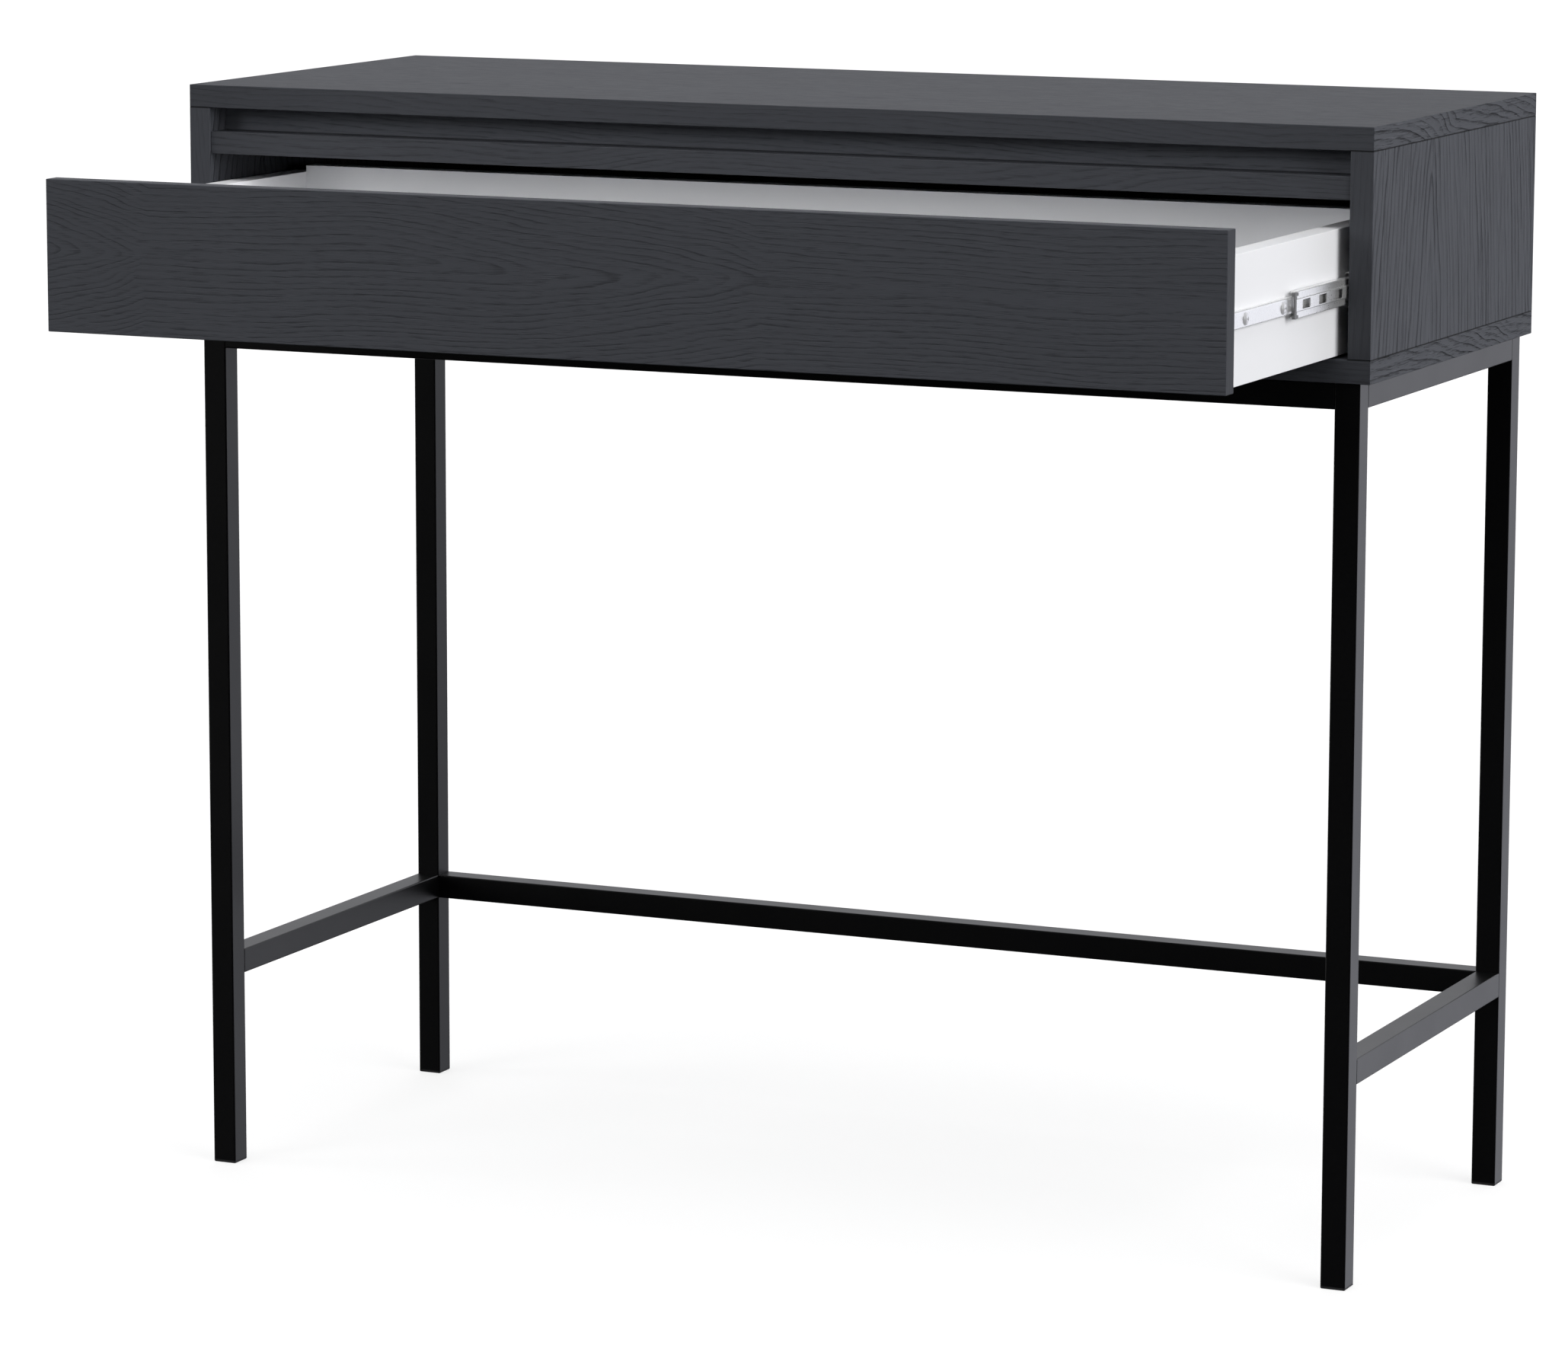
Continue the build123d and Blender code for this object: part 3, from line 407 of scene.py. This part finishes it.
# painted light: a brighter copy of the same white melamine on the drawer's back and bottom, lighting up the inside of
# the drawer
give(melamine("melamine_lit_brighter", (0.935, 0.940, 0.955)), "drawer_back", "drawer_bottom")
give(hardboard(), "back_panel")
give(zinc("zinc_plate", (0.90, 0.90, 0.895), 0.20, metal=0.78), *both("cabinet_member"), *both("middle_member"), *both("drawer_member"))
give(bright_steel("screw_zinc", (0.82, 0.82, 0.84), 0.24), "cabinet_member_screws", "carcass_cam_bolts",
     "drawer_back_screws", "drawer_bottom_tacks", "drawer_cam_bolts", "strip_screws")
give(bright_steel("nail_steel", (0.30, 0.30, 0.31), 0.36), "back_panel_nails")
give(bright_steel("screw_white_zinc", (0.88, 0.88, 0.90), 0.26, 0.55), "drawer_member_screws")
give(bright_steel("screw_black_zinc", (0.030, 0.030, 0.033), 0.34), "frame_screws")
give(bright_steel("ball_polished", (0.78, 0.78, 0.80), 0.08), *both("outer_balls"), *both("inner_balls"))
give(plastic("glide_black", (0.014, 0.014, 0.015), 0.46), "foot_glides")
give(plastic("stop_grey", (0.155, 0.155, 0.160), 0.44), *both("middle_stop"))
give(plastic("cage_natural", (0.55, 0.55, 0.53), 0.42), *both("outer_cage"), *both("inner_cage"))
give(cam_zinc(), "carcass_cams", "drawer_cams")
give(beech(), "wood_dowels", "drawer_dowels")

# ---------------------------------------------------------------- the stage
FLOOR = 60.0
mesh = bpy.data.meshes.new("floor")
mesh.from_pydata([(-FLOOR, -FLOOR, -0.0002), (FLOOR, -FLOOR, -0.0002), (FLOOR, FLOOR, -0.0002), (-FLOOR, FLOOR, -0.0002)],
                 [], [(0, 1, 2, 3)])
floor = bpy.data.objects.new("floor", mesh)
scene.collection.objects.link(floor)
pale = bpy.data.materials.new("pale_floor")
pale.use_nodes = True
pale.node_tree.nodes.clear()
f_out = pale.node_tree.nodes.new("ShaderNodeOutputMaterial")
f_add = pale.node_tree.nodes.new("ShaderNodeAddShader")
f_dif = pale.node_tree.nodes.new("ShaderNodeBsdfDiffuse")
f_dif.inputs["Color"].default_value = (0.30, 0.30, 0.30, 1.0)
f_emi = pale.node_tree.nodes.new("ShaderNodeEmission")
f_emi.inputs["Color"].default_value = (1.0, 1.0, 1.0, 1.0)
f_emi.inputs["Strength"].default_value = 0.74
pale.node_tree.links.new(f_dif.outputs[0], f_add.inputs[0])
pale.node_tree.links.new(f_emi.outputs[0], f_add.inputs[1])
pale.node_tree.links.new(f_add.outputs[0], f_out.inputs["Surface"])
mesh.materials.append(pale)
# the floor is a plain pale ground: it takes shadows, and sends no light up
floor.visible_diffuse = False
floor.visible_glossy = False


def aim(azimuth, elevation):
    """Unit vector towards a light. Azimuth 0 is in front, 90 on the right."""
    a, e = math.radians(azimuth), math.radians(elevation)
    return Vector((math.sin(a) * math.cos(e), -math.cos(a) * math.cos(e), math.sin(e)))


def sun(name, azimuth, elevation, share, width):
    """A large soft source far away. share is the light that a white card facing it sends back."""
    lamp = bpy.data.lights.new(name, "SUN")
    lamp.energy = share * math.pi
    lamp.angle = math.radians(width)
    o = bpy.data.objects.new(name, lamp)
    o.rotation_mode = "QUATERNION"
    o.rotation_quaternion = (-aim(azimuth, elevation)).to_track_quat("-Z", "Y")
    o.location = aim(azimuth, elevation) * 6
    scene.collection.objects.link(o)
    return o


key_o = sun("key_right", 74.0, 13.0, 1.03, 50.0)
key_o.visible_glossy = False
sun("fill_left", -72.0, 12.0, 0.42, 26.0)
front_o = sun("fill_front", -30.0, 16.0, 0.255, 22.0)
front_o.visible_glossy = False
sun("top_soft", 20.0, 70.0, 0.44, 50.0)
rear_o = sun("fill_rear_left", 200.0, 18.0, 0.34, 60.0)
rear_o.visible_glossy = False

# a soft box behind and to the right, seen in the gloss of the right-hand faces
box = bpy.data.lights.new("softbox_back_right", "AREA")
box.shape = "RECTANGLE"
box.size, box.size_y = 2.6, 3.0
box.color = (0.95, 0.965, 1.06)
box.energy = 1.00 * math.pi * box.size * box.size_y
box_o = bpy.data.objects.new("softbox_back_right", box)
box_o.location = (2.16, 2.50, 0.25)
box_o.rotation_mode = "QUATERNION"
box_o.rotation_quaternion = (Vector((0.45, 0.1, 0.4)) - Vector(box_o.location)).to_track_quat("-Z", "Y")
box_o.visible_diffuse = False
scene.collection.objects.link(box_o)

# surroundings: pale above and behind, dark in front and below, as in a studio with black flags
world = bpy.data.worlds.new("studio")
scene.world = world
world.use_nodes = True
wt = world.node_tree
wt.nodes.clear()


def w_math(op, a, b, clamp=False):
    n = wt.nodes.new("ShaderNodeMath")
    n.operation = op
    n.use_clamp = clamp
    for i, v in enumerate((a, b)):
        if isinstance(v, bpy.types.NodeSocket):
            wt.links.new(v, n.inputs[i])
        else:
            n.inputs[i].default_value = v
    return n.outputs[0]


def w_step(v, lo, hi, a, b):
    n = wt.nodes.new("ShaderNodeMapRange")
    n.interpolation_type = "SMOOTHSTEP"
    wt.links.new(v, n.inputs["Value"])
    for key, value in zip(("From Min", "From Max", "To Min", "To Max"), (lo, hi, a, b)):
        n.inputs[key].default_value = value
    return n.outputs[0]


w_out = wt.nodes.new("ShaderNodeOutputWorld")
w_bg = wt.nodes.new("ShaderNodeBackground")
w_see = wt.nodes.new("ShaderNodeBackground")
w_see.inputs["Color"].default_value = (1.0, 1.0, 1.0, 1.0)
w_mix = wt.nodes.new("ShaderNodeMixShader")
w_path = wt.nodes.new("ShaderNodeLightPath")
w_tc = wt.nodes.new("ShaderNodeTexCoord")
w_sep = wt.nodes.new("ShaderNodeSeparateXYZ")
wt.links.new(w_tc.outputs["Generated"], w_sep.inputs[0])
w_x, w_y, w_z = w_sep.outputs["X"], w_sep.outputs["Y"], w_sep.outputs["Z"]
rear = w_step(w_y, -0.20, 0.75, 0.0, 1.0)
high = w_step(w_z, -0.05, 0.22, 0.16, 0.78)
left = w_step(w_x, 0.05, 0.60, 1.0, 0.35)
w_level = w_math("ADD", w_math("MULTIPLY", w_math("MULTIPLY", rear, high), left), 0.012)
w_bg.inputs["Color"].default_value = (0.975, 0.985, 1.03, 1.0)
wt.links.new(w_level, w_bg.inputs["Strength"])
wt.links.new(w_path.outputs["Is Camera Ray"], w_mix.inputs[0])
wt.links.new(w_bg.outputs[0], w_mix.inputs[1])
wt.links.new(w_see.outputs[0], w_mix.inputs[2])
wt.links.new(w_mix.outputs[0], w_out.inputs["Surface"])

scene.view_settings.view_transform = "Standard"
scene.view_settings.look = "None"
scene.view_settings.exposure = 0.0
scene.view_settings.gamma = 1.0

# ---------------------------------------------------------------- the camera
YAW, PITCH, ROLL = math.radians(-24.4321), math.radians(9.4524), math.radians(0.1270)
ahead = Vector((math.sin(YAW) * math.cos(PITCH), math.cos(YAW) * math.cos(PITCH), -math.sin(PITCH)))
right = Vector((math.cos(YAW), -math.sin(YAW), 0.0))
up = right.cross(ahead)
right, up = right * math.cos(ROLL) + up * math.sin(ROLL), up * math.cos(ROLL) - right * math.sin(ROLL)
cam = bpy.data.cameras.new("camera")
cam.sensor_width = 36.0
cam.lens = 146.137
cam.clip_start, cam.clip_end = 0.1, 300.0
cam_o = bpy.data.objects.new("camera", cam)
cam_o.rotation_mode = "QUATERNION"
cam_o.rotation_quaternion = Matrix((right, up, -ahead)).transposed().to_quaternion()
cam_o.location = (2.044501, -4.448231 - 0.0665, 1.249415)
scene.collection.objects.link(cam_o)
scene.camera = cam_o

bpy.context.view_layer.update()
